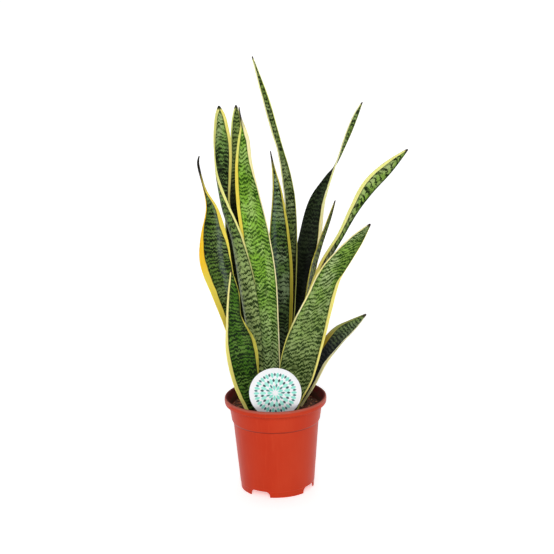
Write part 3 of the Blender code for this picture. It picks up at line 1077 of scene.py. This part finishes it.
@dataclass
class SwordLeaf:
    """One leaf: a blade with an arched section, laid out as stations along its keel.

    Attributes:
        node: The frame's node that it stands for.
        stations: Each one's x, y, z, half width and facing, in mm and degrees.
        inner: The skin of the hollow side.
        outer: The skin of the other side.
        left: The border at the negative side of the blade.
        right: The border at the positive side.
        slot: The record's material slot; not used.
        folds: Angles that the section turns through, evenly spaced from foot to tip.
        tip_length: How much of the tip is dry, in mm.
        tip: The dry tip's colour.
        ripple: How far the margins wave, in mm.
        ripple_pitch: Length of a wave, in mm.
        crowding: How much closer the faces stand near the margins, 0 to 1.
        columns: Faces across the blade.
        row_pitch: Length of a face along the blade, in mm.
        keel_at: Shares of the length at which the keel's thickness is given.
        keel_thickness: The thickness there, in mm.
        margin_thickness: The thickness at the margins, in mm.
        least_half_width: The half width that the blade never goes under, in mm.
    """

    node: str
    stations: tuple[tuple[float, ...], ...]
    inner: BandedSkin
    outer: BandedSkin
    left: Margin
    right: Margin
    slot: str = "leaf_mid_green"
    folds: tuple[float, ...] = (110, 60, 50)
    tip_length: float = 6.0
    tip: Colour = tone("3A3020")
    ripple: float = 0.35
    ripple_pitch: float = 26.0
    crowding: float = 0.4
    columns: int = 16
    row_pitch: float = 4.0
    keel_at: tuple[float, ...] = (0.0, 0.25, 0.6, 1.0)
    keel_thickness: tuple[float, ...] = (4.6, 3.4, 2.6, 1.0)
    margin_thickness: float = 1.0
    least_half_width: float = 0.4

    def seed(self) -> float:
        """Return a number that is this leaf's own."""
        return float(sum(ord(letter) * (place + 3) for place, letter in enumerate(self.node)) % 97)

    def spine(self, at: np.ndarray) -> tuple[np.ndarray, ...]:
        """Read the leaf's frame along its keel.

        Args:
            at: Shares of the leaf's length.

        Returns:
            The centre line in mm, the across and the hollow-side directions, the half width in mm
            and half the fold in radians.
        """
        table = np.array(self.stations, float)
        steps = np.linalg.norm(np.diff(table[:, :3], axis=0), axis=1)
        knots = np.concatenate([[0.0], np.cumsum(steps)]) / steps.sum()
        read = curve_through(knots, table, at)
        ahead = curve_through(knots, table[:, :3], np.minimum(at + 0.002, 1.0))
        behind = curve_through(knots, table[:, :3], np.maximum(at - 0.002, 0.0))
        along = ahead - behind
        along /= np.linalg.norm(along, axis=1)[:, None]
        facing = np.radians(read[:, 4])
        look = np.stack([np.sin(facing), -np.cos(facing), np.zeros_like(facing)], axis=1)
        normal = look - np.sum(look * along, axis=1)[:, None] * along
        normal /= np.linalg.norm(normal, axis=1)[:, None]
        across = np.cross(along, normal)
        half_width = np.maximum(read[:, 3], self.least_half_width)
        fold_at = np.linspace(0.0, 1.0, len(self.folds))
        half_fold = np.radians(np.interp(at, fold_at, self.folds)) / 2.0
        return read[:, :3], across, normal, half_width, half_fold

    def length(self) -> float:
        """Return the leaf's length along its keel, in mm."""
        centre = self.spine(np.linspace(0.0, 1.0, 200))[0]
        return float(np.linalg.norm(np.diff(centre, axis=0), axis=1).sum())

    def build(self) -> bpy.types.Object:
        """Make the leaf and dress it."""
        length = self.length()
        rows = round(length / self.row_pitch)
        shares = np.linspace(0.0, 1.0, rows + 1)
        centre, across, normal, half_width, half_fold = self.spine(shares)
        left = np.interp(shares, *zip(*self.left.widths))
        right = np.interp(shares, *zip(*self.right.widths))
        keel = np.interp(shares, self.keel_at, self.keel_thickness)
        thickest = max(self.keel_thickness)
        seed = self.seed()
        bm = bmesh.new()
        blade = bm.verts.layers.float_vector.new("blade")
        rim = bm.verts.layers.float_vector.new("rim")
        weight = bm.verts.layers.deform.verify()
        bmesh.ops.create_grid(bm, x_segments=self.columns, y_segments=rows, size=1.0)
        for vert in bm.verts:
            even = vert.co.x
            row = round((vert.co.y + 1.0) / 2.0 * rows)
            u = (1.0 - self.crowding) * even + self.crowding * sin(even * pi / 2.0)
            turn = half_fold[row] * u
            radius = half_width[row] / half_fold[row]
            along = shares[row] * length
            wave = noise.noise(Vector((along / self.ripple_pitch, 4.0 * float(u > 0), seed)))
            sway = self.ripple * wave * abs(u) ** 3 * min(1.0, half_width[row] / 6.0)
            lift = radius * (1.0 - cos(turn)) + sway
            spot = centre[row] + across[row] * radius * sin(turn) + normal[row] * lift
            vert.co = Vector(spot) * MM
            vert[blade] = Vector((u * half_width[row], along, half_width[row])) * MM
            dry = (1.0 - shares[row]) * length / self.tip_length
            vert[rim] = Vector((left[row] * MM, right[row] * MM, min(dry, 4.0)))
            margin = min(keel[row], self.margin_thickness)
            vert[weight][0] = (margin + (keel[row] - margin) * (1.0 - u * u)) / thickest
        mesh = to_mesh(bm, self.node + "_blade")
        for side, face in (("inner", self.inner), ("outer", self.outer)):
            name = f"{self.node}_{side}_skin"
            mesh.materials.append(
                face.dress(name, seed, length, self.left, self.right, self.tip))
        piece = show(self.node + "_blade", mesh, self.node)
        piece.vertex_groups.new(name="thickness")
        shell = piece.modifiers.new("thickness", "SOLIDIFY")
        shell.thickness = thickest * MM
        shell.offset = 0.0
        shell.vertex_group = "thickness"
        shell.thickness_vertex_group = 0.0
        shell.material_offset = 1
        smooth = piece.modifiers.new("smooth", "SUBSURF")
        smooth.levels = 1
        smooth.render_levels = 1
        return piece


GOLD = tone("FAD848")
LEMON = tone("F0E464")
LIME = tone("EEF48E")
OCHRE = tone("C99A1E")
CREAM = tone("FDF6D2")
OLIVE = tone("857F28")
AMBER = tone("FFC61A")
SAGE = tone("98A468")
MOSS = tone("2C4418")
BUTTER = tone("FAEE98")


def border(
    colour: Colour, pale: Colour, *widths: Point2, upper: Optional[Colour] = None,
    turn: Point2 = (0.45, 0.75)
) -> Margin:
    """Return a margin, all in its main colour where no upper one is given."""
    return Margin(colour, pale, widths, upper or colour, turn)


def skin(codes: str, **looks: object) -> BandedSkin:
    """Make a skin from hex colours.

    Args:
        codes: The light and the dark bands' colour, the same at the foot, and the fresh one.
        **looks: The skin's other fields.

    Returns:
        The skin.
    """
    light, dark, foot_light, foot_dark, vivid = map(tone, codes.split())
    return BandedSkin(
        light, dark, foot_light=foot_light, foot_dark=foot_dark, vivid=vivid, **looks)


def leaves() -> list[SwordLeaf]:
    """Return the twelve leaves, the back ones first."""
    deep = skin(
        "3E4A2C 0E140A 2E361E 0B0F06 44562A", light_share=-0.5, foot_share=-0.5)
    olive = skin(
        "66723A 1A200C 4E4C24 161206 6E8234", pitch=5.5, shape=BandShape.ARCH, rise=3.0)
    return [
        SwordLeaf(
            "back_tall", (
                (7, 24, 86, 9, 15), (10, 29, 158, 11, 20), (15, 33, 218, 12, 28),
                (20, 38, 285, 11, 38), (21, 42, 331, 10, 48), (18, 45, 362, 8.8, 50),
                (11.2, 46, 398, 5.7, 54), (6.6, 46, 416, 5.4, 44), (-3, 45, 455, 4.6, 34),
                (-17, 42, 506, 0.6, 34)),
            slot="leaf_dark_green",
            inner=skin(
                "94A66C 1A260C 34321A 0E0E04 748C40", foot=(150.0, 250.0), rise=3.0,
                foot_share=-0.4, sides=(0.0, 0.35)),
            outer=skin(
                "74804A 262E0E 3A4028 0E0E04 7C9E40", foot=(150.0, 290.0), pitch=5.5, rise=3.0),
            left=border(CREAM, LIME, (0, 1.0), (0.6, 1.0), (0.8, 1.6), (1, 0.8)),
            right=border(
                OLIVE, LIME, (0, 1.0), (0.5, 1.2), (0.72, 0.8), (0.82, 1.2), (1, 0.6), upper=LIME),
            tip_length=4.0),
        SwordLeaf(
            "back_left", (
                (-12, 24, 86, 9, 0), (-21, 28, 160, 13, 4), (-33, 33, 240, 14, 8),
                (-41, 35, 300, 14, 12), (-41, 36, 340, 12.5, 16), (-38, 37, 382, 9.8, 20),
                (-38, 38, 428, 6.4, 25), (-37.2, 38, 443, 3.8, 25), (-37, 38, 451, 0.7, 25)),
            slot="leaf_dark_green", folds=(110, 60, 60),
            # Its dark foot is partly painted shade, where the leaf fills the shaded gap behind the
            # front leaves.
            inner=skin(
                "94A864 2A3A14 2C3418 0A0C04 86A04A", foot=(240.0, 330.0), pitch=4.6),
            outer=deep,
            left=border(OLIVE, LIME, (0, 1.0), (0.8, 1.4), (1, 1.6), upper=LIME),
            right=border(OLIVE, LIME, (0, 1.0), (1, 1.0)),
            tip_length=4.5, tip=tone("241C14")),
        SwordLeaf(
            "left_clasping", (
                (-19, 2, 86, 11.5, 100), (-28, 2, 180, 19, 110), (-37, 4, 250, 21.5, 114),
                (-45, 5, 301, 19.5, 104), (-56, 8, 340, 18.5, 90), (-59, 12, 374, 18, 62),
                (-57, 16, 409, 15, 38), (-56.4, 18, 432, 10.6, 30), (-56.3, 19, 445, 6.8, 30),
                (-56, 20, 454, 0.7, 30)),
            folds=(120, 126, 132, 110),
            inner=skin(
                "A6BC7C 24380C 7A9C58 081404 84AC50", foot=(300.0, 350.0), pitch=4.6,
                shape=BandShape.ARCH, rise=6.0, light_share=0.2, foot_share=-0.8,
                sides=(-0.1, 0.2)),
            outer=skin(
                "708C48 101C06 9CB06C 22340E 749A44", bloom=tone("86946C"), foot=(170.0, 250.0),
                pitch=6.0, shape=BandShape.CUP, rise=7.0, foot_share=0.1, bloom_share=0.12),
            left=border(
                SAGE, BUTTER, (0, -1), (0.4, -1), (0.48, 1.0), (0.6, 2.0), (0.7, 2.8), (0.8, 5.8),
                (0.92, 6.4), (1, 5), upper=LIME),
            right=border(
                SAGE, LEMON, (0, 1), (0.5, 1.2), (0.66, 2.2), (0.78, 3.2), (0.95, 3.6), (1, 2.6),
                upper=BUTTER),
            tip_length=4.5, tip=tone("2E3418")),
        SwordLeaf(
            "centre_broad", (
                (-2, -1, 86, 9.5, -6), (-5, -2, 152, 13.5, -12), (-8, -2, 207, 16.5, -16),
                (-11, -2, 255, 18, -16), (-18, -1, 306, 17, -6), (-25.4, 1, 348, 14.6, 6),
                (-29.5, 6, 387, 10.4, 6), (-29, 10, 417, 6.8, 10), (-29.5, 11, 430, 3.2, 12),
                (-31.5, 12.5, 440, 1.1, 16), (-33, 14, 453, 0.5, 20)),
            slot="leaf_bright_green", folds=(90, 50, 60),
            inner=skin(
                "A8CA6C 2C4E0A B2C48A 1E320A 88BA3C", bloom=tone("94AC68"), foot=(20.0, 190.0),
                pitch=4.8, shape=BandShape.ZIGZAG, rise=5.0, foot_share=-0.1, vivid_share=0.05,
                sides=(0.1, 0.1)),
            outer=olive,
            left=border(
                GOLD, LEMON, (0, -1), (0.3, -1), (0.42, 1.0), (0.52, 2.4), (0.62, 3.4),
                (0.76, 4.0), (0.84, 3.0), (0.9, 2.4), (1, 1.0), upper=LIME, turn=(0.8, 0.88)),
            right=border(
                BUTTER, CREAM, (0, 1.0), (0.74, 1.0), (0.84, 3.6), (0.92, 4.4), (0.95, 2.4),
                (0.97, 0.2), (1, 0.2)),
            tip_length=22.0, tip=tone("2C2A22")),
        SwordLeaf(
            "left_outer", (
                (-31, 10, 86, 7.5, 14), (-38, 8, 143, 10, 16), (-46, 5, 193, 11.5, 14),
                (-57, 1, 240, 15.5, 12), (-65, -1, 277, 19, 4), (-65, 0, 303, 17, -10),
                (-66, 4, 336, 9.5, -32), (-75, 8, 361, 2.4, -50), (-81.6, 12, 389, 1.5, -30),
                (-80, 13, 398, 0.6, -30)),
            folds=(90, 60, 50),
            inner=skin(
                "728A4E 0C1804 646E2E 121C04 5E7E30", bloom=tone("84928C"), foot=(60.0, 170.0),
                pitch=4.6, rise=3.0, bloom_depth=0.4, light_share=-0.2, stripe=(0.35, 0.3, 0.26),
                sides=(0.3, 0.0)),
            outer=deep,
            left=border(
                LEMON, GOLD, (0, 4), (0.3, 5), (0.5, 7.2), (0.6, 7.6), (0.68, 4.2), (0.74, 1.4),
                (1, 0.8), upper=AMBER, turn=(0.54, 0.62)),
            right=border(
                OLIVE, LEMON, (0, 0.8), (0.6, 0.9), (0.68, 3.0), (0.74, 6.4), (0.82, 3.4),
                (1, 0.8), upper=GOLD, turn=(0.6, 0.7)),
            tip_length=40.0, tip=tone("1E1A14")),
        SwordLeaf(
            "left_front_short", (
                (-20, -15, 86, 9, 10), (-34, -18, 137, 17, 12), (-39, -21, 181, 19, 10),
                (-45.6, -21, 216, 9.2, 6), (-45, -20, 242, 7.2, 4), (-47, -19, 271, 0.7, 4)),
            inner=skin(
                "6A8E3E 0C2204 44602C 0A1604 4C7A22", bloom=tone("8796A0"), foot=(0.0, 60.0),
                pitch=4.6, rise=3.0, light_share=-0.2, foot_share=-0.6, bloom_share=0.1,
                vivid_share=0.05, sides=(0.0, 0.45)),
            outer=deep,
            left=border(
                LEMON, BUTTER, (0, 3.6), (0.2, 4.6), (0.45, 4.6), (0.62, 2.8), (1, 1.2),
                upper=BUTTER),
            right=border(
                OLIVE, LEMON, (0, 0.8), (0.3, 1.0), (0.42, 3.2), (0.52, 4.0), (0.6, 2.4),
                (0.68, 0.8), (1, 0.5), upper=MOSS, turn=(0.58, 0.68)),
            tip_length=3.5),
        SwordLeaf(
            "centre_dark", (
                (7, 12, 86, 9, -5), (9, 14, 175, 13, -8), (11, 16, 254, 14, -8),
                (9.5, 18, 298, 12.5, -5), (8, 20, 349, 6.2, 5), (4, 22, 380, 2.2, 40),
                (1, 22, 400, 0.6, 60)),
            slot="leaf_dark_green",
            inner=skin(
                "8AA072 0C1A08 46523C 10140A 62843C", bloom=tone("80909A"), foot=(60.0, 200.0),
                rise=2.0, bloom_share=0.25, bloom_depth=0.35, stripe=(-0.5, 0.3, 0.2),
                sides=(0.0, 0.35)),
            outer=deep,
            left=border(OLIVE, LEMON, (0, 1), (1, 1)),
            right=border(
                OLIVE, tone("B0A034"), (0, 4.2), (0.5, 3.8), (0.7, 2.8), (0.85, 1.6), (1, 0.8),
                upper=LEMON, turn=(0.4, 0.8)),
            tip_length=18.0, tip=tone("3A3630")),
        SwordLeaf(
            "right_tall", (
                (19, 30, 86, 9, 160), (27, 38, 181, 13, 160), (37, 44, 253, 15, 160),
                (44, 46, 288, 14.5, 162), (53, 50, 330, 10.5, 160), (67, 53, 359, 5, 140),
                (77, 55, 376, 3.2, 80), (86, 57, 397, 3.4, 42), (94, 58, 416, 3.8, 22),
                (102, 59, 434, 2.9, 20), (109, 60, 447, 0.5, 20)),
            slot="leaf_dark_green", folds=(100, 60, 50),
            inner=skin(
                "88A05C 1C2A10 4E4C24 161206 7C9840"),
            outer=skin(
                "343F2A 0E140A 20261A 080C06 344426", foot=(150.0, 270.0), light_share=-0.2,
                foot_share=-0.4),
            left=border(
                GOLD, CREAM, (0, 2.4), (0.3, 4.4), (0.6, 4.4), (0.72, 2.2), (0.8, 1.2), (1, 0.6),
                upper=LIME),
            right=border(MOSS, MOSS, (0, 0.6), (0.6, 0.6), (1, 0.6), upper=LIME, turn=(0.74, 0.8)),
            tip_length=4.0),
        SwordLeaf(
            "right_thin", (
                (24, 19, 86, 7, 60), (34, 24, 184, 8, 62), (46, 30, 255, 8, 62),
                (55.5, 32, 284, 4.8, 54), (67.6, 34, 316, 2.8, 42), (75, 35, 337, 0.6, 40)),
            folds=(90, 50, 40),
            inner=olive, outer=olive,
            left=border(OLIVE, LEMON, (0, 1.4), (0.7, 0.6), (1, 0.2)),
            right=border(GOLD, OCHRE, (0, 2.2), (0.6, 1.4), (0.75, 0.3), (1, 0.2), upper=OLIVE),
            ),
        SwordLeaf(
            "right_leaning", (
                (28, 9, 86, 9, -10), (34, 10, 164, 11, -12), (46, 12, 224, 8, -12),
                (59, 14, 265, 5, -12), (80, 16, 300, 4.1, -14), (96, 17, 330, 5.8, -16),
                (113, 18, 356, 8.6, -16), (134, 18, 377, 7.4, -16), (158, 16, 399, 0.9, -16)),
            inner=skin(
                "A8BA78 16280A 6A6458 201C16 86AC44", foot=(170.0, 250.0), pitch=8.0,
                shape=BandShape.ARCH, rise=5.0, light_share=0.2, wander=0.9),
            outer=deep,
            left=border(
                OCHRE, LIME, (0, 1.4), (0.3, 3.4), (0.5, 3.6), (0.6, 3.0), (0.8, 4.2),
                (0.92, 3.2), (1, 1.2), upper=BUTTER, turn=(0.54, 0.66)),
            right=border(MOSS, MOSS, (0, 0.5), (1, 0.5)),
            tip_length=4.5),
        SwordLeaf(
            "right_front_broad", (
                (12, -14, 86, 11, -12), (19, -17, 116, 15, -13), (26, -19, 145, 22.5, -14),
                (37, -24, 187, 23, -14), (54, -28, 235, 17, -12), (66, -30, 266, 13.5, -10),
                (81, -31, 287, 11, -10), (96.5, -31, 306, 7.5, -10), (112, -30, 324, 0.8, -10)),
            inner=skin(
                "A6BA7C 2A4410 92A664 283A14 7CA040", bloom=tone("8E9262"), foot=(60.0, 210.0),
                pitch=5.6, shape=BandShape.ZIGZAG, slant=16.0, bloom_share=0.15, light_share=-0.1,
                foot_share=-0.2, vivid_share=0.05, sides=(-0.05, 0.15), wander=0.9),
            outer=olive,
            left=border(
                SAGE, LEMON, (0, 0.5), (0.3, 0.7), (0.42, 1.6), (0.6, 1.8), (1, 0.9), upper=CREAM,
                turn=(0.4, 0.56)),
            right=border(
                BUTTER, LEMON, (0, 1.2), (0.25, 2.0), (0.45, 3.2), (0.62, 4.0), (0.7, 3.0),
                (0.75, 0.4), (1, 0.2)),
            tip_length=4.5),
        SwordLeaf(
            "right_short", (
                (16, 2, 86, 8.5, -25), (38, -4, 131, 13, -28), (55, -8, 161, 11, -30),
                (75, -12, 188, 10.5, -30), (90, -14, 200, 7, -25), (107, -14, 213, 0.8, -20)),
            folds=(100, 60, 50),
            # Its slate-grey foot is painted shade on the leaf's hollow lower face.
            inner=skin(
                "8A9E74 26341C 3C403C 1E2124 7E9A50", bloom=tone("6C7878"), foot=(100.0, 150.0),
                pitch=4.6, rise=2.0, foot_share=-0.4),
            outer=deep,
            left=border(
                OCHRE, OLIVE, (0, 1.5), (0.3, 4.0), (0.5, 7.4), (0.7, 5.5), (0.84, 1.8), (1, 0.8),
                upper=SAGE, turn=(0.62, 0.8)),
            right=border(
                BUTTER, CREAM, (0, 2.4), (0.5, 3.8), (0.64, 1.6), (1, 0.5), upper=SAGE,
                turn=(0.56, 0.66)),
            tip_length=5.0),
    ]


Lamp = tuple[Point3, Point2, float]


@dataclass
class Studio:
    """The pale floor, the soft lights and the camera.

    Attributes:
        eye: Where the camera stands.
        aim: What it looks at.
        roll: How far it leans, in degrees.
        lens: Its focal length in mm.
        target: What the lamps in front point at.
        dim: How brightly the room lights the plant from the front.
        above: How much brighter it does so from the ceiling.
        behind: How much brighter it does so from behind.
        glow: The strength of the floor's own light.
        lamps: Each soft box's place, size in metres and power in watts.
        backdrop: The same of the box that hangs behind and points down.
    """

    eye: Point3 = (0.0052, -2.0, 0.815)
    aim: Point3 = (0.0052, 0.0, 0.256)
    roll: float = 1.4
    lens: float = 117.04
    target: Point3 = (0.0, 0.0, 0.24)
    dim: float = 0.03
    above: float = 0.3
    behind: float = 0.05
    glow: float = 0.52
    lamps: tuple[Lamp, ...] = (
        ((-1.3, -1.8, 0.9), (0.2, 1.3), 0.7),
        ((1.3, -1.8, 0.9), (0.2, 1.3), 0.5),
        ((-0.1, -2.0, 1.5), (1.2, 1.0), 23.0),
    )
    backdrop: Lamp = ((0.0, 3.0, 2.4), (6.0, 5.0), 62.0)

    def camera(self) -> None:
        """Place the camera."""
        eye = Vector(self.eye)
        ahead = (Vector(self.aim) - eye).normalized()
        side = ahead.cross(Vector((0.0, 0.0, 1.0))).normalized()
        up = side.cross(ahead)
        lean = radians(self.roll)
        right = side * cos(lean) - up * sin(lean)
        top = side * sin(lean) + up * cos(lean)
        data = bpy.data.cameras.new("camera")
        data.lens = self.lens
        data.sensor_width = 36.0
        data.clip_start = 0.05
        data.clip_end = 60.0
        camera = added("camera", data)
        turn = Matrix((right, top, -ahead)).transposed().to_4x4()
        camera.matrix_world = Matrix.Translation(eye) @ turn
        bpy.context.scene.camera = camera

    def light(self) -> None:
        """Hang the soft boxes."""
        for index, hung in enumerate(self.lamps + (self.backdrop,)):
            place, size, power = hung
            data = bpy.data.lights.new(f"softbox_{index + 1}", "AREA")
            data.shape = "RECTANGLE"
            data.size, data.size_y = size
            data.energy = power
            lamp = added(data.name, data)
            lamp.location = place
            if hung != self.backdrop:
                ahead = Vector(self.target) - Vector(place)
                lamp.rotation_euler = ahead.to_track_quat("-Z", "Y").to_euler()

    def room(self) -> None:
        """Make the room: white to the camera, and dim where it lights the plant."""
        world = bpy.data.worlds.new("room")
        nodes = Nodes(world)
        _, along, up = nodes.parts(nodes.node("ShaderNodeTexCoord", {}).outputs["Generated"])
        level = nodes.plus(self.dim, nodes.step(up, 0.1, 0.9), self.above)
        level = nodes.plus(level, nodes.step(along, -0.1, 0.7), self.behind)
        seen = nodes.node("ShaderNodeLightPath", {}).outputs["Is Camera Ray"]
        strength = nodes.node("ShaderNodeMix", {0: seen, 2: level, 3: 1.0}).outputs[0]
        back = nodes.tree.nodes["Background"]
        nodes.feed(back.inputs["Strength"], strength)
        nodes.feed(back.inputs["Color"], (1.0, 1.0, 1.0))
        bpy.context.scene.world = world

    def floor(self) -> None:
        """Lay the pale floor."""
        bm = bmesh.new()
        bmesh.ops.create_grid(bm, x_segments=1, y_segments=1, size=12.0)
        plane = added("floor", to_mesh(bm, "floor"))
        recipe = Recipe("pale_floor")
        haze = recipe.noise(recipe.place(), 1.5)
        colour = recipe.mix(recipe.step(haze, -0.4, 0.4), tone("FAFAFA"), tone("FDFDFD"))
        plane.data.materials.append(recipe.finish(
            Base_Color=colour, Roughness=0.9, Specular_IOR_Level=0.1,
            Emission_Color=(1.0, 1.0, 1.0), Emission_Strength=self.glow))

    def build(self) -> None:
        """Set up the studio."""
        self.floor()
        self.light()
        self.room()
        self.camera()
        bpy.context.scene.view_settings.view_transform = "Standard"


def main() -> None:
    """Build the plant, its pot and the studio, logging each piece's face count."""
    logging.basicConfig(level=logging.INFO, format="%(message)s")
    pot = NurseryPot(PotPlastic())
    pot.build()
    soil = SoilBed(pot, PottingMix())
    soil.bed()
    soil.scatter()
    PlantLabel(LabelPrint()).build()
    for leaf in leaves():
        leaf.build()
    Studio().build()
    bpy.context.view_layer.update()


if __name__ == "__main__":
    main()
